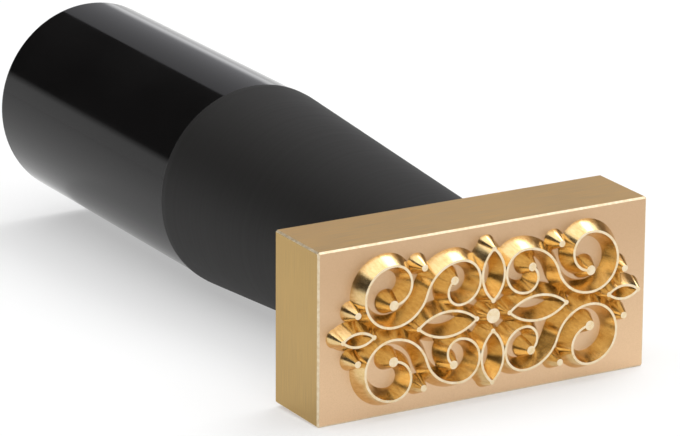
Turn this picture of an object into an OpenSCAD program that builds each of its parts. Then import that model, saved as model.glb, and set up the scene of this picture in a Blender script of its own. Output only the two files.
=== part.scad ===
// Hand stamp: a machined brass die screwed to a two-part turned black handle.
// It lies as on a bench: the stamping face looks along -Y, the handle's axis is the Y axis, +Z is up.
// The origin is the middle of the stamping face.

/* [Die] */
// Width of the die block
die_w = 60; // [57:0.5:90]
// Height of the die block
die_h = 28.5; // [27:0.5:50]
// Thickness of the block behind the relief
die_t = 13.6; // [13:0.2:30]
// Chamfer on the block's edges
die_edge = 0.3; // [0.1:0.1:0.8]
// Turns of thread that hold the die on the stud
thread_turns = 7; // [5:1:8]
// Tapped hole left empty past the stud's end
thread_spare = 1.5; // [0.5:0.1:2]
// Countersink at the mouth of the tapped hole
thread_mouth = 0.6; // [0.2:0.1:1]

/* [Relief] */
// Height of the raised ornament over the milled ground
relief_h = 2.6; // [1.5:0.1:3.5]
// Width of the flat crest of each scroll
crest_w = 0.4; // [0.2:0.05:0.6]
// Draft of the ornament's walls, in degrees
draft = 25; // [10:1:30]
// Height of each scroll's top above the level centre line
scroll_top = 10; // [9.5:0.1:10.5]
// Distance of the inner curl from the upright centre line
inner_x = 6; // [5.4:0.1:6.5]
// Radius of the inner curl
inner_curl_r = 3.6; // [3:0.1:4]
// Radius of the inner curl's eye
inner_eye_r = 2.2; // [1.8:0.1:2.6]
// Crest radius of the bead in the inner curl
inner_bead_r = 0.7; // [0.4:0.05:1]
// Radius of each half of the sweep between the curls
sweep_r = 6.25; // [6:0.05:6.5]
// Radius of the outer curl
outer_curl_r = 5; // [4.4:0.1:5.2]
// Radius of the outer curl's eye
outer_eye_r = 3.2; // [2.6:0.1:3.6]
// Crest radius of the bead in the outer curl
outer_bead_r = 0.8; // [0.4:0.05:1]
// Crest radius of the pearls round the outer curl
pearl_r = 0.55; // [0.3:0.05:0.8]
// Distance of the pearls from the outer curl's crest
pearl_gap = 1.7; // [1.4:0.1:2]
// Crest radius of the boss in the middle
boss_r = 1.2; // [0.8:0.1:1.5]
// Distance of the level leaf from the middle
level_leaf_x = 3; // [2.6:0.1:3.4]
// Length of the level leaf
level_leaf_l = 10.5; // [9:0.1:11]
// Bend radius of the level leaf's sides
level_leaf_r = 7.7; // [7.5:0.1:7.8]
// Distance of the upright leaf from the middle
upright_leaf_z = 2.5; // [2.2:0.1:3]
// Length of the upright leaf
upright_leaf_l = 8.5; // [7:0.1:8.8]
// Bend radius of the upright leaf's sides
upright_leaf_r = 5.5; // [5:0.1:9]
// Distance of the end leaf from the middle
end_leaf_x = 21.5; // [21:0.1:22]
// Length of the end leaf
end_leaf_l = 5.5; // [4:0.1:5.6]
// Bend radius of the end leaf's sides
end_leaf_r = 4; // [3.9:0.1:6]
// Crest radius of the leaves' tips
leaf_tip_r = 0.4; // [0.36:0.01:0.5]

/* [Neck] */
// Length of the tapered neck
neck_l = 61.5; // [40:0.5:90]
// Diameter of the neck at the die
neck_front_d = 27.5; // [25:0.5:28]
// How far the neck stands out beyond the grip at the seam
neck_proud = 0.2; // [0:0.05:0.5]
// Length of the straight band behind the taper
neck_band = 1.4; // [0.8:0.1:4]
// Rounding of the neck's rear rim
neck_rim = 0.4; // [0.2:0.1:0.7]

/* [Grip] */
// Diameter of the grip
grip_d = 35.4; // [31:0.2:45]
// Length of the grip
grip_l = 62.3; // [50:0.1:90]
// Rounding of the grip's rear rim
grip_rim = 0.8; // [0.3:0.1:2]
// Diameter of the spigot that centres the grip in the neck
spigot_d = 24; // [20:0.5:26]
// Length of the spigot
spigot_l = 6; // [3:0.5:10]

/* [Fasteners] */
// Nominal diameter of the stud
stud_d = 8; // [6:1:8]
// Pitch of the stud's thread
stud_pitch = 1.25; // [1:0.25:1.25]
// Chamfer on the stud's ends
stud_chamfer = 0.9; // [0.4:0.1:1.2]
// Width across the flats of the clamp nut
nut_af = 13; // [12:0.5:14]
// Thickness of the clamp nut
nut_t = 4; // [3:0.5:6]
// Height of the chamfer on the nut's corners
nut_chamfer = 0.5; // [0.2:0.1:0.9]
// Outside diameter of the flat washer
flat_washer_d = 16; // [14:0.5:17]
// Thickness of the flat washer
flat_washer_t = 1.6; // [1:0.1:2.5]
// Outside diameter of the lock washer
lock_washer_d = 14.8; // [13:0.2:16]
// Thickness of the lock washer
lock_washer_t = 2; // [1.2:0.1:3]
// Width of the lock washer's split
lock_washer_split = 1; // [0.5:0.1:2]
// Diameter of the grip's insert over its knurl
insert_d = 13; // [12:0.5:16]
// Length of the insert
insert_l = 20; // [12:0.5:30]
// Depth of the insert's knurl
knurl_depth = 0.4; // [0.2:0.05:0.6]
// Teeth round the insert's knurl
knurl_teeth = 30; // [20:2:40]
// Length of the smooth neck between the insert's two knurled bands
insert_groove = 3; // [2:0.5:5]

/* [Clearances] */
// Radial clearance of a thread, modelled as a plain cylinder
thread_gap = 0.05; // [0.02:0.01:0.09]
// Radial clearance of the stud's holes in the neck and the washers
stud_gap = 0.25; // [0.1:0.05:0.5]
// Radial clearance round the nut and washers in their counterbore
counterbore_gap = 0.5; // [0.3:0.1:1]
// Radial clearance of the spigot and the insert
seat_gap = 0.05; // [0.02:0.01:0.1]
// Empty length past the spigot, the insert and the stud
end_gap = 0.5; // [0.2:0.1:1.5]

/* [Hidden] */
$fn = 96;
eps = 0.01;

// Places along the handle's axis, back from the crests of the relief
ground_y = relief_h;
die_back_y = ground_y + die_t;
seam_y = die_back_y + neck_l;
grip_end_y = seam_y + grip_l;
lock_washer_y = die_back_y;
nut_y = lock_washer_y + lock_washer_t;
flat_washer_y = nut_y + nut_t;
neck_shoulder_y = flat_washer_y + flat_washer_t;
thread_reach = thread_turns * stud_pitch;
stud_front_y = die_back_y - thread_reach;
insert_y = seam_y - spigot_l + end_gap;
stud_back_y = insert_y + insert_l;

stud_r = stud_d / 2;
tapped_r = stud_r + thread_gap;
clear_r = stud_r + stud_gap;
nut_corner_r = nut_af / 2 / cos(30);
counterbore_r = max(nut_corner_r, flat_washer_d / 2, lock_washer_d / 2) + counterbore_gap;
neck_rear_r = grip_d / 2 + neck_proud;

// The ornament's walls run a little below the ground, so that they grow out of the block
wall_root = 0.2;
wall_h = relief_h + wall_root;
spread = wall_h * tan(draft);
// The sweep turns through the angle of a 7, 24, 25 triangle, and the inner eye stops short of a half turn
sweep_turn = atan2(24, 7);
inner_eye_turn = 150;
outer_x = inner_x + 2 * sweep_r * sin(sweep_turn);
outer_z = scroll_top - 2 * sweep_r * (1 - cos(sweep_turn)) + outer_curl_r;
// Directions from the outer curl's middle to its pearls
pearl_angles = [145, -18];

brass = [0.78, 0.64, 0.40];
matte_black = [0.13, 0.12, 0.11];
gloss_black = [0.04, 0.035, 0.035];
steel = [0.62, 0.62, 0.63];

// Turns a shape drawn round +Z into one that runs back along +Y from y
module along_y(y) {
    translate([0, y, 0]) rotate([-90, 0, 0]) children();
}

// A turned solid from points given as [radius, distance back from y]
module turned(y, points) {
    along_y(y) rotate_extrude() polygon(points);
}

// A turned body that ends in a rim rounded to radius e: points lead up to the rim's start at radius r
module turned_with_rim(y, points, r, length, e) {
    along_y(y) rotate_extrude() {
        polygon(concat([[0, 0]], points, [[r, length - e], [r - e, length - e], [r - e, length], [0, length]]));
        translate([r - e, length - e]) circle(e);
    }
}

module bore(y, length, r) {
    along_y(y) cylinder(h = length, r = r);
}

// Outline of a drafted wall whose crest runs at radius r, cut off at the axis
function wall_outline(r) = let (c = crest_w / 2, b = c + spread)
    r > b
    ? [[r - b, 0], [r + b, 0], [r + c, wall_h], [r - c, wall_h]]
    : [[0, 0], [r + b, 0], [r + c, wall_h], [r - c, wall_h], [0, wall_h - (r - c) / tan(draft)]];

module wall_arc(r, turn) {
    rotate_extrude(angle = turn) polygon(wall_outline(r));
}

// A round boss whose crest has radius r
module bead(r) {
    cylinder(h = wall_h, r1 = r + spread, r2 = r);
}

// A scroll drawn from point p: each step is [radius, turn], left turns positive, and it ends in a bead
module scroll(p, heading, steps, end_r, i = 0) {
    if (i < len(steps)) {
        r = steps[i][0];
        turn = steps[i][1];
        start = heading - sign(turn) * 90;
        centre = p - r * [cos(start), sin(start)];
        translate(centre) rotate(min(start, start + turn)) wall_arc(r, abs(turn));
        scroll(centre + r * [cos(start + turn), sin(start + turn)], heading + turn, steps, end_r, i + 1);
    } else {
        translate(p) bead(end_r);
    }
}

// A pointed leaf along +X, outlined by two bowed walls
module leaf(start, length, r) {
    half_turn = asin(length / 2 / r);
    for (side = [1, -1])
        scroll([start, 0], side * half_turn, [[r, -side * 2 * half_turn]], leaf_tip_r);
    translate([start, 0]) bead(leaf_tip_r);
}

// One quarter of the ornament: a scroll from the top of its inner curl both ways to its two eyes
module quarter() {
    top = [inner_x, scroll_top];
    scroll(top, 180, [[inner_curl_r, 180], [inner_eye_r, inner_eye_turn]], inner_bead_r);
    scroll(top, 0, [[sweep_r, -sweep_turn], [sweep_r, sweep_turn], [outer_curl_r, 180], [outer_eye_r, 180]],
        outer_bead_r);
    for (a = pearl_angles)
        translate([outer_x, outer_z] + (outer_curl_r + pearl_gap) * [cos(a), sin(a)]) bead(pearl_r);
}

module ornament() {
    for (mx = [0, 1], mz = [0, 1])
        mirror([mx, 0, 0]) mirror([0, mz, 0]) quarter();
    for (turn = [0, 180]) {
        rotate(turn) leaf(level_leaf_x, level_leaf_l, level_leaf_r);
        rotate(turn) leaf(end_leaf_x, end_leaf_l, end_leaf_r);
        rotate(turn + 90) leaf(upright_leaf_z, upright_leaf_l, upright_leaf_r);
    }
    bead(boss_r);
}

module relief() {
    translate([0, ground_y + wall_root, 0]) rotate([90, 0, 0]) ornament();
}

// A flat slab with its four upright edges chamfered
module slab(x, y, z) {
    u = x / 2;
    v = y / 2;
    e = die_edge;
    linear_extrude(z, center = true)
        polygon([[u - e, v], [e - u, v], [-u, v - e], [-u, e - v], [e - u, -v], [u - e, -v], [u, e - v], [u, v - e]]);
}

// The block with all its edges chamfered
module block() {
    translate([0, ground_y + die_t / 2, 0])
        intersection() {
            slab(die_w, die_t, die_h);
            rotate([90, 0, 0]) slab(die_w, die_h, die_t);
            rotate([0, 90, 0]) slab(die_h, die_t, die_w);
        }
}

module die() {
    color(brass)
        difference() {
            union() {
                block();
                relief();
            }
            bore(stud_front_y - thread_spare, thread_reach + thread_spare, tapped_r);
            along_y(die_back_y - thread_mouth) cylinder(h = thread_mouth, r1 = tapped_r, r2 = tapped_r + thread_mouth);
        }
}

module lock_washer() {
    color(steel)
        difference() {
            bore(lock_washer_y, lock_washer_t, lock_washer_d / 2);
            bore(lock_washer_y - eps, lock_washer_t + 2 * eps, clear_r);
            translate([-lock_washer_split / 2, lock_washer_y - eps, 0])
                cube([lock_washer_split, lock_washer_t + 2 * eps, lock_washer_d]);
        }
}

module clamp_nut() {
    color(steel)
        difference() {
            intersection() {
                along_y(nut_y) cylinder(h = nut_t, r = nut_corner_r, $fn = 6);
                turned(nut_y, [
                    [0, 0],
                    [nut_af / 2, 0],
                    [nut_corner_r, nut_chamfer],
                    [nut_corner_r, nut_t - nut_chamfer],
                    [nut_af / 2, nut_t],
                    [0, nut_t]
                ]);
            }
            bore(nut_y - eps, nut_t + 2 * eps, tapped_r);
        }
}

module flat_washer() {
    color(steel)
        difference() {
            bore(flat_washer_y, flat_washer_t, flat_washer_d / 2);
            bore(flat_washer_y - eps, flat_washer_t + 2 * eps, clear_r);
        }
}

module draw_stud() {
    l = stud_back_y - stud_front_y;
    color(steel)
        turned(stud_front_y, [
            [0, 0],
            [stud_r - stud_chamfer, 0],
            [stud_r, stud_chamfer],
            [stud_r, l - stud_chamfer],
            [stud_r - stud_chamfer, l],
            [0, l]
        ]);
}

module neck() {
    color(matte_black)
        difference() {
            turned_with_rim(die_back_y, [[neck_front_d / 2, 0], [neck_rear_r, neck_l - neck_band]],
                neck_rear_r, neck_l, neck_rim);
            bore(die_back_y - eps, neck_shoulder_y - die_back_y + eps, counterbore_r);
            bore(neck_shoulder_y - eps, seam_y - neck_shoulder_y, clear_r);
            bore(seam_y - spigot_l - end_gap, spigot_l + end_gap + eps, spigot_d / 2 + seat_gap);
        }
}

module grip() {
    color(gloss_black)
        difference() {
            union() {
                turned_with_rim(seam_y, [[grip_d / 2, 0]], grip_d / 2, grip_l, grip_rim);
                bore(seam_y - spigot_l, spigot_l + eps, spigot_d / 2);
            }
            bore(seam_y - spigot_l - eps, insert_l + 2 * end_gap + eps, insert_d / 2 + seat_gap);
        }
}

// A ring of teeth that stands out to the insert's full diameter
module knurled_band(y, length) {
    root_r = insert_d / 2 - knurl_depth;
    step = 360 / knurl_teeth;
    along_y(y) linear_extrude(length)
        polygon([for (i = [0 : knurl_teeth - 1], half = [0, 1])
            (half == 0 ? insert_d / 2 : root_r) * [cos((i + half / 2) * step), sin((i + half / 2) * step)]]);
}

module grip_insert() {
    band = (insert_l - insert_groove) / 2;
    color(brass)
        difference() {
            union() {
                knurled_band(insert_y, band);
                bore(insert_y + band - eps, insert_groove + 2 * eps, insert_d / 2 - 2 * knurl_depth);
                knurled_band(insert_y + band + insert_groove, band);
            }
            bore(insert_y - eps, insert_l + 2 * eps, tapped_r);
        }
}

die();
lock_washer();
clamp_nut();
flat_washer();
draw_stud();
neck();
grip();
grip_insert();
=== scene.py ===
# Looks of the hand stamp: brass die with raised scrollwork, matte neck and gloss grip.
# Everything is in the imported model's frame: the face looks along -Y, the handle's axis is Y, +Z is up.
import math

import bmesh
import bpy
from mathutils import Matrix, Vector


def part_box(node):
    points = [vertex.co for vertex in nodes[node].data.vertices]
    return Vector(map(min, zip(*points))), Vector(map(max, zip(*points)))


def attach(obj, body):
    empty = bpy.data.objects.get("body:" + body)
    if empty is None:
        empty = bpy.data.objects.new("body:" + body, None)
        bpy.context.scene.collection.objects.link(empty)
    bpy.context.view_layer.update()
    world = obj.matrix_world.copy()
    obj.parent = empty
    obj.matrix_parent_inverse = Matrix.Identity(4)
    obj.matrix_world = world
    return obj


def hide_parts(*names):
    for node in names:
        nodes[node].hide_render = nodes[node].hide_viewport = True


MM = 0.001

# Die block, in millimetres
DIE_EDGE = 0.3
THREAD_SPARE = 1.5

# Relief, in millimetres: the walls start a little below the ground and end at the crests
RELIEF_H = 2.6
CREST_W = 0.4
WALL_ROOT = 0.2
WALL_H = RELIEF_H + WALL_ROOT
DRAFT = math.radians(25)
SPREAD = WALL_H * math.tan(DRAFT)

# Scrolls, in millimetres from the middle of the face: level direction first, then up
SCROLL_TOP = 10
INNER_X = 6
INNER_CURL_R = 3.6
INNER_EYE_R = 2.2
INNER_EYE_TURN = 150
INNER_BEAD_R = 0.7
SWEEP_R = 6.25
SWEEP_TURN = math.degrees(math.atan2(24, 7))
OUTER_CURL_R = 5
OUTER_EYE_R = 3.2
OUTER_BEAD_R = 0.8
PEARL_R = 0.55
PEARL_GAP = 1.7
PEARL_ANGLES = (145, -18)
BOSS_R = 1.2

# Leaves, in millimetres: where each starts, its length and the bend radius of its sides
LEVEL_LEAF = (3, 10.5, 7.7)
UPRIGHT_LEAF = (2.5, 8.5, 5.5)
END_LEAF = (21.5, 5.5, 4)
LEAF_TIP_R = 0.4

# Fineness of the relief's mesh: degrees a step along an arc, steps round a bead, and metres within
# which points are joined
ARC_STEP = 6
BEAD_STEPS = 40
JOINED = 1e-7

# Edges sharper than this stay sharp, in degrees
DIE_SHARP = 22
STUD_SHARP = 30

# Thread of the stud and of the tapped hole, in millimetres
STUD_PITCH = 1.25
STUD_CHAMFER = 0.9
THREAD_DEPTH = 0.68
TAPPED_R = 4.05
THREAD_SIDES = 48
ROWS_PER_TURN = 8

# The photograph's camera, in millimetres and radians, with x right, y up and z towards the viewer.
# Its focal length is in pixels of a picture that is PHOTO_W wide.
PHOTO_W = 680
FOCAL_PX = 4562.52
SENSOR_W = 36
CAMERA_TURN = Vector((-2.744304, 0.106438, -0.730955))
CAMERA_SHIFT = Vector((22.63756, 14.56925, 713.90632))
CAMERA_REACH = 20

# The stamp rests on the die's lower front edge and on the neck's rear rim, in millimetres
NECK_REAR_R = 17.9
NECK_RIM = 0.4
FLOOR_GAP = 0.02

# Floor, in metres. Where it is seen, it is drawn towards white by FLOOR_WHITE near the stamp,
# by more from WHITE_FROM on, and fully beyond WHITE_TO
FLOOR_HALF = 15
FLOOR_GREY = 0.95
FLOOR_WHITE = 0.45
WHITE_FROM = 0.5
WHITE_TO = 1.1

# The surroundings fade from white to dim between these heights of a unit direction
HORIZON_LOW = 0.07
HORIZON_HIGH = 0.14
DIM = 0.05

# What the softboxes point at, in metres
MIDDLE = (0, 0.06, 0)

# Grain of the finishes, to the metre
BRUSHED = 5200
MILLED = 9000
STREAKED = 2400
TURNED = 1500
GRITTY = 7000
DRAWN = 3000

# How a grain is drawn out along an axis
EVEN = (1, 1, 1)
ALONG_X = (0.03, 1, 1)
ALONG_Y = (1, 0.05, 1)
ALONG_Z = (1, 1, 0.03)
UP_THE_WALL = (1, 0.12, 1)
ROUND_Y = (0.01, 1, 0.01)
HANDLED = (1, 0.4, 1)

# Colours
SIDE_BRASS = (0.58, 0.36, 0.13)
# Painted shade: the block's end faces get the same brass as its level faces, painted darker
END_BRASS_PAINTED_SHADE = (0.46, 0.30, 0.105)
# Painted light: the ground's colour at the die's lower edge, paler than higher up
GROUND_LOW_PAINTED_LIGHT = (0.88, 0.62, 0.39)
GROUND_HIGH = (0.68, 0.46, 0.28)
GROUND_MARKS = (0.50, 0.34, 0.19)
WALL_DARK = (0.72, 0.49, 0.21)
WALL_LIGHT = (0.86, 0.64, 0.32)
CREST_DARK = (0.80, 0.62, 0.36)
CREST_LIGHT = (0.92, 0.80, 0.60)
# The broken edges' pale brass is partly bare metal and partly a painted highlight
ARRIS_DARK = (0.74, 0.58, 0.36)
ARRIS_LIGHT = (0.92, 0.81, 0.62)
NECK_DARK = (0.005, 0.0045, 0.004)
NECK_LIGHT = (0.010, 0.009, 0.0083)
NECK_RUBBED = (0.035, 0.033, 0.031)
GRIP_DARK = (0.003, 0.0027, 0.0027)
GRIP_LIGHT = (0.006, 0.0055, 0.0055)
GRIP_RUBBED = (0.02, 0.02, 0.02)
ZINC = (0.62, 0.63, 0.65)
BRIGHT_STEEL = (0.52, 0.52, 0.53)

# Heights on the die, in metres, between which the ground's painted light fades, from palest at the lower
# height to plain at the upper
GROUND_PAINTED_LIGHT_FADE = (-0.013, 0.010)

# The die's finishes, in the order of its material slots
SIDE, END, BACK, GROUND, WALL, CREST, ARRIS = range(7)

# How squarely a face has to look along an axis, and how near two heights count as one, in metres
SQUARE_ON = 0.99
FLAT = 0.999
SAME_PLANE = 0.00002

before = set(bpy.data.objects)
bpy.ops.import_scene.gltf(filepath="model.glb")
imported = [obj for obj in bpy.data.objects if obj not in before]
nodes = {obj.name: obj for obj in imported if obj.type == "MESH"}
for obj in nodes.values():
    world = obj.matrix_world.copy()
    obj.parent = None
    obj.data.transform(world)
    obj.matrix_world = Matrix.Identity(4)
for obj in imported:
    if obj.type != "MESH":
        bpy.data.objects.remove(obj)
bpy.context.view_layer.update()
die_low, die_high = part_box("die")
GROUND_Y = RELIEF_H * MM


# Materials
class Shader:
    """A material's node tree, with short calls for the nodes that the finishes share."""

    def __init__(self, name, colour, metallic, roughness):
        self.material = bpy.data.materials.new(name)
        self.material.use_nodes = True
        self.tree = self.material.node_tree
        self.bsdf = self.tree.nodes["Principled BSDF"]
        self.bsdf.inputs["Base Color"].default_value = (*colour, 1)
        self.bsdf.inputs["Metallic"].default_value = metallic
        self.bsdf.inputs["Roughness"].default_value = roughness
        self.place = self.tree.nodes.new("ShaderNodeTexCoord").outputs["Object"]

    def link(self, output, target):
        self.tree.links.new(output, target)

    def noise(self, scale, stretch=EVEN, detail=3):
        """Noise whose grain is scale to the metre, drawn out along the axes with a small stretch."""
        mapping = self.tree.nodes.new("ShaderNodeMapping")
        mapping.inputs["Scale"].default_value = stretch
        node = self.tree.nodes.new("ShaderNodeTexNoise")
        node.inputs["Scale"].default_value = scale
        node.inputs["Detail"].default_value = detail
        self.link(self.place, mapping.inputs["Vector"])
        self.link(mapping.outputs["Vector"], node.inputs["Vector"])
        return node.outputs["Fac"]

    def ranged(self, value, low, high, start=0.3, end=0.7):
        """Turns a value from start to end into one from low to high."""
        node = self.tree.nodes.new("ShaderNodeMapRange")
        set_range(node, start, end, low, high)
        self.link(value, node.inputs["Value"])
        return node.outputs["Result"]

    def blend(self, factor, first, second):
        """Mixes two colours or colour sockets."""
        node = self.tree.nodes.new("ShaderNodeMix")
        node.data_type = "RGBA"
        self.link(factor, node.inputs["Factor"])
        colour_a, colour_b = [socket for socket in node.inputs if socket.type == "RGBA"]
        for socket, colour in ((colour_a, first), (colour_b, second)):
            if isinstance(colour, tuple):
                socket.default_value = (*colour, 1)
            else:
                self.link(colour, socket)
        return next(socket for socket in node.outputs if socket.type == "RGBA")

    def patchy(self, pattern, dark, light):
        """A colour that goes from dark to light with a pattern."""
        return self.blend(self.ranged(pattern, 0, 1), dark, light)

    def edge_wear(self, radius):
        """1 on sharp outer edges within radius, else 0."""
        bevel = self.tree.nodes.new("ShaderNodeBevel")
        bevel.inputs["Radius"].default_value = radius
        geometry = self.tree.nodes.new("ShaderNodeNewGeometry")
        dot = self.tree.nodes.new("ShaderNodeVectorMath")
        dot.operation = "DOT_PRODUCT"
        self.link(bevel.outputs["Normal"], dot.inputs[0])
        self.link(geometry.outputs["Normal"], dot.inputs[1])
        return self.ranged(dot.outputs["Value"], 1, 0, start=0.75, end=0.97)

    def height(self):
        """Height along Z, in metres."""
        node = self.tree.nodes.new("ShaderNodeSeparateXYZ")
        self.link(self.place, node.inputs["Vector"])
        return node.outputs["Z"]

    def bump(self, pattern, distance, strength):
        node = self.tree.nodes.new("ShaderNodeBump")
        node.inputs["Strength"].default_value = strength
        node.inputs["Distance"].default_value = distance
        self.link(pattern, node.inputs["Height"])
        self.link(node.outputs["Normal"], self.bsdf.inputs["Normal"])

    def colour(self, socket):
        self.link(socket, self.bsdf.inputs["Base Color"])

    def roughness(self, pattern, low, high):
        self.link(self.ranged(pattern, low, high), self.bsdf.inputs["Roughness"])


def set_range(node, start, end, low, high):
    for key, number in (("From Min", start), ("From Max", end), ("To Min", low), ("To Max", high)):
        node.inputs[key].default_value = number


def scaled(colour, factor):
    return tuple(min(c * factor, 1) for c in colour)


def brushed_brass(name, stretch, colour=SIDE_BRASS):
    """Brass with fine brushing: the grain runs along the axis whose stretch is small."""
    shader = Shader(name, colour, metallic=1, roughness=0.34)
    grain = shader.noise(BRUSHED, stretch, detail=4)
    clouds = shader.noise(scale=60)
    clouded = shader.patchy(clouds, scaled(colour, 0.86), colour)
    shader.colour(shader.patchy(grain, clouded, scaled(colour, 1.14)))
    shader.roughness(grain, low=0.30, high=0.42)
    shader.bump(grain, distance=0.00001, strength=0.5)
    return shader.material


def milled_ground():
    """The paler ground between the walls, matte from a fine end mill, with painted light that makes it palest
    towards the lower edge.
    """
    shader = Shader("brass_ground", GROUND_HIGH, metallic=1, roughness=0.4)
    grain = shader.noise(MILLED, detail=4)
    # Painted light: the ground is painted palest towards the die's lower edge
    painted_light_rise = shader.ranged(shader.height(), 0, 1, *GROUND_PAINTED_LIGHT_FADE)
    base = shader.blend(painted_light_rise, GROUND_LOW_PAINTED_LIGHT, GROUND_HIGH)
    shader.colour(shader.blend(shader.ranged(grain, 0, 0.22), base, GROUND_MARKS))
    shader.roughness(grain, low=0.34, high=0.46)
    shader.bump(grain, distance=0.000012, strength=0.6)
    return shader.material


def polished_wall():
    """The ornament's walls, bright from the cutter's flank, with faint streaks up the wall."""
    shader = Shader("brass_wall", WALL_LIGHT, metallic=1, roughness=0.2)
    streaks = shader.noise(STREAKED, UP_THE_WALL)
    shader.colour(shader.patchy(streaks, WALL_DARK, WALL_LIGHT))
    shader.roughness(streaks, low=0.18, high=0.26)
    shader.bump(streaks, distance=0.000004, strength=0.3)
    return shader.material


def crest_brass():
    """The crests, faced off and slightly worn."""
    shader = Shader("brass_crest", CREST_LIGHT, metallic=1, roughness=0.3)
    wear = shader.noise(scale=900)
    shader.colour(shader.patchy(wear, CREST_DARK, CREST_LIGHT))
    shader.roughness(wear, low=0.24, high=0.38)
    return shader.material


def arris_wear_and_highlight():
    """The block's broken edges, where the metal shows bright: paler partly from bare brass and partly from a
    painted highlight.
    """
    shader = Shader("brass_arris_wear_and_highlight", ARRIS_LIGHT, metallic=1, roughness=0.5)
    nicks = shader.noise(scale=1500, detail=4)
    shader.colour(shader.patchy(nicks, ARRIS_DARK, ARRIS_LIGHT))
    shader.roughness(nicks, low=0.46, high=0.58)
    shader.bump(nicks, distance=0.00001, strength=0.3)
    return shader.material


def matte_black():
    """The neck: fine matte black with turning lines, rubbed a little brighter on its rims."""
    shader = Shader("matte_black", NECK_LIGHT, metallic=0, roughness=0.6)
    shader.bsdf.inputs["Specular IOR Level"].default_value = 0.3
    grit = shader.noise(GRITTY, detail=4)
    turning = shader.noise(TURNED, ROUND_Y, detail=2)
    wear = shader.edge_wear(radius=0.0006)
    shader.colour(shader.blend(wear, shader.patchy(grit, NECK_DARK, NECK_LIGHT), NECK_RUBBED))
    shader.roughness(turning, low=0.58, high=0.62)
    shader.bump(grit, distance=0.000012, strength=0.5)
    return shader.material


def gloss_black():
    """The grip: polished black, with faint handling smears and soft ripples."""
    shader = Shader("gloss_black", GRIP_LIGHT, metallic=0, roughness=0.07)
    shader.bsdf.inputs["Specular IOR Level"].default_value = 0.17
    smears = shader.noise(scale=90, stretch=HANDLED, detail=4)
    wear = shader.edge_wear(radius=0.0008)
    shader.colour(shader.blend(wear, shader.patchy(smears, GRIP_DARK, GRIP_LIGHT), GRIP_RUBBED))
    shader.roughness(smears, low=0.05, high=0.11)
    shader.bump(shader.noise(scale=45), distance=0.00003, strength=0.25)
    return shader.material


def steel(name, colour, roughness, stretch):
    """Plated or bright steel with fine turned or drawn marks."""
    shader = Shader(name, colour, metallic=1, roughness=roughness)
    marks = shader.noise(DRAWN, stretch, detail=4)
    stains = shader.noise(scale=260)
    shader.colour(shader.patchy(stains, scaled(colour, 0.78), colour))
    shader.roughness(marks, low=roughness - 0.06, high=roughness + 0.1)
    shader.bump(marks, distance=0.00001, strength=0.5)
    return shader.material


# Meshes
def to_mesh(bm, name):
    mesh = bpy.data.meshes.new(name)
    bm.to_mesh(mesh)
    bm.free()
    return mesh


def new_object(name, mesh, body):
    obj = bpy.data.objects.new(name, mesh)
    bpy.context.scene.collection.objects.link(obj)
    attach(obj, body)
    return obj


def polar(centre, r, degrees):
    a = math.radians(degrees)
    return (centre[0] + r * math.cos(a), centre[1] + r * math.sin(a))


def skin(bm, rings):
    """Closes rings of vertices into one solid, with a face over each end."""
    count = len(rings[0])
    for first, second in zip(rings, rings[1:]):
        for i in range(count):
            j = (i + 1) % count
            bm.faces.new((first[i], first[j], second[j], second[i]))
    bm.faces.new(rings[0])
    bm.faces.new(rings[-1])


def wall_outline(r):
    """Section of a drafted wall whose crest runs at radius r, cut off at the arc's middle."""
    c = CREST_W / 2
    b = c + SPREAD
    if r > b:
        return [(r - b, 0), (r + b, 0), (r + c, WALL_H), (r - c, WALL_H)]
    return [(0, 0), (r + b, 0), (r + c, WALL_H), (r - c, WALL_H), (0, WALL_H - (r - c) / math.tan(DRAFT))]


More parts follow.
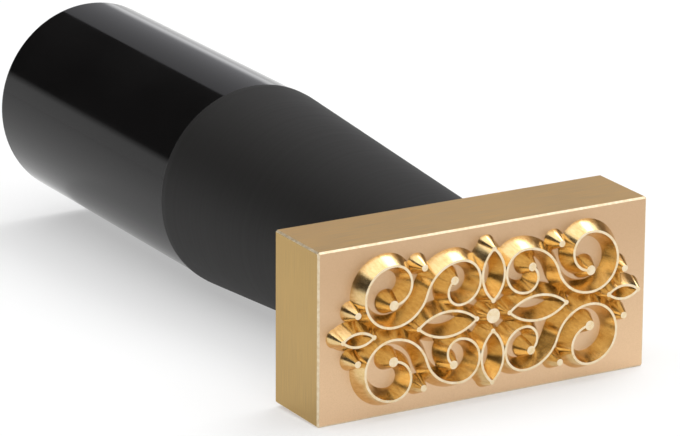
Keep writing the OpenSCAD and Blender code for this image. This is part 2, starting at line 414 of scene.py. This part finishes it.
class Ornament:
    """Draws the ornament as separate closed meshes, mirrored or turned as mirror and quarter_turns say."""

    def __init__(self):
        self.pieces = []
        self.mirror = (1, 1)
        self.quarter_turns = 0

    def on_face(self, point, height):
        """A point of the ornament's plan, at a height above the walls' root, in the frame."""
        for _ in range(self.quarter_turns):
            point = (-point[1], point[0])
        x, z = (point[i] * self.mirror[i] for i in range(2))
        return Vector((x * MM, (WALL_H - height) * MM, z * MM))

    def add(self, rings):
        """Adds a solid through rings of points, each [place in the plan, height]."""
        bm = bmesh.new()
        skin(bm, [[bm.verts.new(self.on_face(p, h)) for p, h in ring] for ring in rings])
        bmesh.ops.remove_doubles(bm, verts=bm.verts, dist=JOINED)
        bmesh.ops.recalc_face_normals(bm, faces=bm.faces)
        self.pieces.append(bm)

    def arc(self, centre, r, start, turn):
        count = max(2, round(abs(turn) / ARC_STEP))
        section = wall_outline(r)
        angles = [start + turn * i / count for i in range(count + 1)]
        self.add([[(polar(centre, q, a), h) for q, h in section] for a in angles])

    def bead(self, centre, r):
        angles = [360 * i / BEAD_STEPS for i in range(BEAD_STEPS)]
        self.add([[(polar(centre, q, a), h) for a in angles] for q, h in ((r + SPREAD, 0), (r, WALL_H))])

    def scroll(self, p, heading, steps, end_r):
        """A scroll from point p: each step is (radius, turn), left turns positive, and it ends in a bead."""
        for r, turn in steps:
            start = heading - math.copysign(90, turn)
            centre = polar(p, -r, start)
            self.arc(centre, r, start, turn)
            p = polar(centre, r, start + turn)
            heading += turn
        self.bead(p, end_r)

    def leaf(self, start, length, r):
        """A pointed leaf outlined by two bowed walls."""
        half_turn = math.degrees(math.asin(length / 2 / r))
        for side in (1, -1):
            self.scroll((start, 0), side * half_turn, [(r, -side * 2 * half_turn)], LEAF_TIP_R)
        self.bead((start, 0), LEAF_TIP_R)

    def quarter(self):
        """A scroll from the top of its inner curl both ways to its two eyes, with the pearls beside it."""
        top = (INNER_X, SCROLL_TOP)
        sweep = math.radians(SWEEP_TURN)
        outer_x = INNER_X + 2 * SWEEP_R * math.sin(sweep)
        outer_z = SCROLL_TOP - 2 * SWEEP_R * (1 - math.cos(sweep)) + OUTER_CURL_R
        inward = [(INNER_CURL_R, 180), (INNER_EYE_R, INNER_EYE_TURN)]
        outward = [(SWEEP_R, -SWEEP_TURN), (SWEEP_R, SWEEP_TURN), (OUTER_CURL_R, 180), (OUTER_EYE_R, 180)]
        self.scroll(top, 180, inward, INNER_BEAD_R)
        self.scroll(top, 0, outward, OUTER_BEAD_R)
        for degrees in PEARL_ANGLES:
            self.bead(polar((outer_x, outer_z), OUTER_CURL_R + PEARL_GAP, degrees), PEARL_R)

    def draw(self):
        """The whole ornament: four quarters, six leaves and the boss in the middle."""
        for mirror in ((1, 1), (-1, 1), (1, -1), (-1, -1)):
            self.mirror = mirror
            self.quarter()
        self.mirror = (1, 1)
        for turns in (0, 2):
            self.quarter_turns = turns
            self.leaf(*LEVEL_LEAF)
            self.leaf(*END_LEAF)
        for turns in (1, 3):
            self.quarter_turns = turns
            self.leaf(*UPRIGHT_LEAF)
        self.quarter_turns = 0
        self.bead((0, 0), BOSS_R)


def chamfered_block(low, high, edge):
    """A box with all its edges chamfered."""
    bm = bmesh.new()
    bmesh.ops.create_cube(bm, size=1)
    size = high - low
    middle = (low + high) / 2
    for v in bm.verts:
        v.co = Vector(v.co[i] * size[i] + middle[i] for i in range(3))
    bmesh.ops.bevel(
        bm, geom=bm.edges[:], offset=edge, offset_type="OFFSET", segments=1, profile=0.5, affect="EDGES"
    )
    return bm


def threaded_rod(start, length, r, chamfer):
    """A rod along Y with a real thread, its crests at radius r, chamfered at both ends."""
    bm = bmesh.new()
    rows = round(length / (STUD_PITCH * MM) * ROWS_PER_TURN)
    rings = []
    for i in range(rows + 1):
        y = length * i / rows
        end_r = r - max(0, chamfer - min(y, length - y))
        ring = []
        for k in range(THREAD_SIDES):
            share = k / THREAD_SIDES
            phase = (y / (STUD_PITCH * MM) + share) % 1
            groove = THREAD_DEPTH * MM * (1 - abs(2 * phase - 1))
            x, z = polar((0, 0), min(r - groove, end_r), 360 * share)
            ring.append(bm.verts.new((x, start + y, z)))
        rings.append(ring)
    skin(bm, rings)
    bmesh.ops.recalc_face_normals(bm, faces=bm.faces)
    return bm


def combine(target, others, operation):
    """Applies one exact boolean of target with other objects, then deletes those."""
    group = bpy.data.collections.new("tools")
    bpy.context.scene.collection.children.link(group)
    for other in others:
        group.objects.link(other)
    modifier = target.modifiers.new("combine", "BOOLEAN")
    modifier.operand_type = "COLLECTION"
    modifier.collection = group
    modifier.operation = operation
    modifier.solver = "EXACT"
    modifier.use_self = True
    evaluated = target.evaluated_get(bpy.context.evaluated_depsgraph_get())
    mesh = bpy.data.meshes.new_from_object(evaluated)
    target.modifiers.clear()
    target.data = mesh
    for other in others:
        bpy.data.objects.remove(other)
    bpy.data.collections.remove(group)


def make_die(stud_front):
    """The die with a fine mesh of its ornament, and a real thread in its hole."""
    low = Vector((die_low[0], GROUND_Y, die_low[2]))
    high = Vector(die_high)
    block = to_mesh(chamfered_block(low, high, DIE_EDGE * MM), "die_block")
    die = new_object("die_block", block, "die")
    ornament = Ornament()
    ornament.draw()
    walls = [bpy.data.objects.new("wall", to_mesh(bm, "wall")) for bm in ornament.pieces]
    combine(die, walls, "UNION")
    depth = high.y - stud_front + THREAD_SPARE * MM
    tap = threaded_rod(high.y - depth, depth + STUD_CHAMFER * MM, TAPPED_R * MM, 0)
    combine(die, [bpy.data.objects.new("tap", to_mesh(tap, "tap"))], "DIFFERENCE")
    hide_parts("die")
    return die


def make_stud(low, high):
    rod = to_mesh(threaded_rod(low.y, high.y - low.y, high.x, STUD_CHAMFER * MM), "threaded_stud")
    stud = new_object("threaded_stud", rod, "handle")
    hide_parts("draw_stud")
    return stud


def paint(obj, *materials):
    obj.data.materials.clear()
    for material in materials:
        obj.data.materials.append(material)


def die_finish(face):
    """Which of the die's finishes a face has, from where it is and which way it looks."""
    n = face.normal
    y = face.center.y
    if y < SAME_PLANE and n.y < -SQUARE_ON:
        return CREST
    if y < GROUND_Y - SAME_PLANE:
        return WALL
    if n.y < -SQUARE_ON:
        return GROUND
    if max(abs(n.x), abs(n.y), abs(n.z)) <= FLAT:
        return ARRIS
    if n.y > SQUARE_ON:
        return BACK
    return END if abs(n.x) > SQUARE_ON else SIDE


def paint_die(die):
    """Paints the die with its finishes, which go in the order of their numbers."""
    paint(
        die,
        brushed_brass("brass_side_level", ALONG_X),
        # The end faces' brass is painted shade, darker than the level faces' brass
        brushed_brass("brass_end_painted_shade", ALONG_Z, END_BRASS_PAINTED_SHADE),
        brushed_brass("brass_back", ALONG_X),
        milled_ground(),
        polished_wall(),
        crest_brass(),
        arris_wear_and_highlight(),
    )
    for face in die.data.polygons:
        face.material_index = die_finish(face)


# Camera, floor and light
def photo_camera():
    """The camera that was fitted to the photograph: its x, y and z become X, Z and -Y."""
    turn = Matrix.Rotation(CAMERA_TURN.length, 3, CAMERA_TURN.normalized())
    to_frame = Matrix(((1, 0, 0), (0, 0, -1), (0, 1, 0)))
    axes = to_frame @ Matrix((turn[0], -turn[1], -turn[2])).transposed()
    place = to_frame @ (turn.transposed() @ -CAMERA_SHIFT) * MM + Vector((0, GROUND_Y, 0))
    data = bpy.data.cameras.new("camera")
    data.sensor_width = SENSOR_W
    data.lens = FOCAL_PX / PHOTO_W * SENSOR_W
    data.clip_end = CAMERA_REACH
    camera = bpy.data.objects.new("camera", data)
    bpy.context.scene.collection.objects.link(camera)
    camera.matrix_world = Matrix.Translation(place) @ axes.to_4x4()
    bpy.context.scene.camera = camera


def floor_plane():
    """A point of the floor and its upward direction, from the two lines that the stamp rests on."""
    front = Vector((0, GROUND_Y, die_low[2]))
    rear = Vector((0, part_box("neck")[1][1] - NECK_RIM * MM, -NECK_REAR_R * MM))
    along = (rear - front).normalized()
    return front, Vector((1, 0, 0)).cross(along).normalized()


def math_node(tree, operation, first, second):
    node = tree.nodes.new("ShaderNodeMath")
    node.operation = operation
    tree.links.new(first, node.inputs[0])
    tree.links.new(second, node.inputs[1])
    return node.outputs["Value"]


def whiten(tree, surface):
    """Draws the floor towards white where the camera, a reflection or glass sees it, and fully so far off."""
    path = tree.nodes.new("ShaderNodeLightPath").outputs
    seen = path["Is Camera Ray"]
    for other in ("Is Glossy Ray", "Is Transmission Ray"):
        seen = math_node(tree, "MAXIMUM", seen, path[other])
    place = tree.nodes.new("ShaderNodeTexCoord")
    distance = tree.nodes.new("ShaderNodeVectorMath")
    distance.operation = "LENGTH"
    tree.links.new(place.outputs["Object"], distance.inputs[0])
    reach = tree.nodes.new("ShaderNodeMapRange")
    set_range(reach, WHITE_FROM, WHITE_TO, FLOOR_WHITE, 1)
    tree.links.new(distance.outputs["Value"], reach.inputs["Value"])
    white = tree.nodes.new("ShaderNodeEmission")
    white.inputs["Strength"].default_value = 1
    mix = tree.nodes.new("ShaderNodeMixShader")
    tree.links.new(math_node(tree, "MULTIPLY", seen, reach.outputs["Result"]), mix.inputs["Fac"])
    tree.links.new(surface, mix.inputs[1])
    tree.links.new(white.outputs["Emission"], mix.inputs[2])
    tree.links.new(mix.outputs["Shader"], tree.nodes["Material Output"].inputs["Surface"])


def floor_paper():
    """Plain matte paper, just short of white."""
    material = bpy.data.materials.new("floor")
    material.use_nodes = True
    bsdf = material.node_tree.nodes["Principled BSDF"]
    bsdf.inputs["Base Color"].default_value = (FLOOR_GREY, FLOOR_GREY, FLOOR_GREY, 1)
    bsdf.inputs["Roughness"].default_value = 0.9
    bsdf.inputs["Specular IOR Level"].default_value = 0.1
    whiten(material.node_tree, bsdf.outputs["BSDF"])
    return material


def turned_to(place, direction, axis):
    """The matrix of an object at place whose axis points along direction."""
    return Matrix.Translation(place) @ direction.to_track_quat(axis, "Y").to_matrix().to_4x4()


def add_floor():
    """A white floor that only the stamp's shadow marks."""
    point, up = floor_plane()
    bm = bmesh.new()
    bmesh.ops.create_grid(bm, x_segments=1, y_segments=1, size=FLOOR_HALF)
    floor = bpy.data.objects.new("floor", to_mesh(bm, "floor"))
    bpy.context.scene.collection.objects.link(floor)
    floor.matrix_world = turned_to(point - up * FLOOR_GAP * MM, up, "Z")
    floor.data.materials.append(floor_paper())


def add_world():
    """A dim studio above a white horizon, where the floor's paper curves up."""
    world = bpy.data.worlds.new("studio")
    bpy.context.scene.world = world
    world.use_nodes = True
    tree = world.node_tree
    background = tree.nodes["Background"]
    background.inputs["Color"].default_value = (1, 1, 1, 1)
    direction = tree.nodes.new("ShaderNodeTexCoord")
    split = tree.nodes.new("ShaderNodeSeparateXYZ")
    fade = tree.nodes.new("ShaderNodeMapRange")
    set_range(fade, HORIZON_LOW, HORIZON_HIGH, 1, DIM)
    tree.links.new(direction.outputs["Generated"], split.inputs["Vector"])
    tree.links.new(split.outputs["Z"], fade.inputs["Value"])
    tree.links.new(fade.outputs["Result"], background.inputs["Strength"])


def area_light(name, place, target, size, power, colour=(1, 1, 1)):
    data = bpy.data.lights.new(name, "AREA")
    data.shape = "RECTANGLE"
    data.size, data.size_y = size
    data.energy = power
    data.color = colour
    light = bpy.data.objects.new(name, data)
    bpy.context.scene.collection.objects.link(light)
    light.matrix_world = turned_to(Vector(place), Vector(target) - Vector(place), "-Z")


def add_lights():
    """A wide panel overhead, a key softbox to the right and a wall softbox behind, which the grip mirrors."""
    area_light("panel_overhead", (0.2, -0.2, 1.3), (0.2, -0.2, 0), size=(3, 3), power=42)
    area_light("softbox_key", (0.55, 0.25, 1.1), MIDDLE, size=(0.6, 0.6), power=3.5)
    area_light(
        "softbox_behind",
        (0.78, 1.25, 0.46),
        (0.78, 0, 0.46),
        size=(1.04, 0.86),
        power=1.5,
        colour=(0.95, 0.95, 1),
    )


bpy.context.scene.view_settings.view_transform = "Standard"
photo_camera()
add_floor()
add_world()
add_lights()

stud_low, stud_high = (Vector(corner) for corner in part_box("draw_stud"))
die = make_die(stud_low.y)
stud = make_stud(stud_low, stud_high)
paint_die(die)
paint(stud, steel("bright_steel", BRIGHT_STEEL, roughness=0.26, stretch=ALONG_Y))
paint(nodes["neck"], matte_black())
paint(nodes["grip"], gloss_black())
paint(nodes["grip_insert"], brushed_brass("brass_insert", ALONG_Y))
plated = steel("zinc_plate", ZINC, roughness=0.30, stretch=EVEN)
for name in ("clamp_nut", "flat_washer", "lock_washer"):
    paint(nodes[name], plated)
die.data.set_sharp_from_angle(angle=math.radians(DIE_SHARP))
stud.data.set_sharp_from_angle(angle=math.radians(STUD_SHARP))
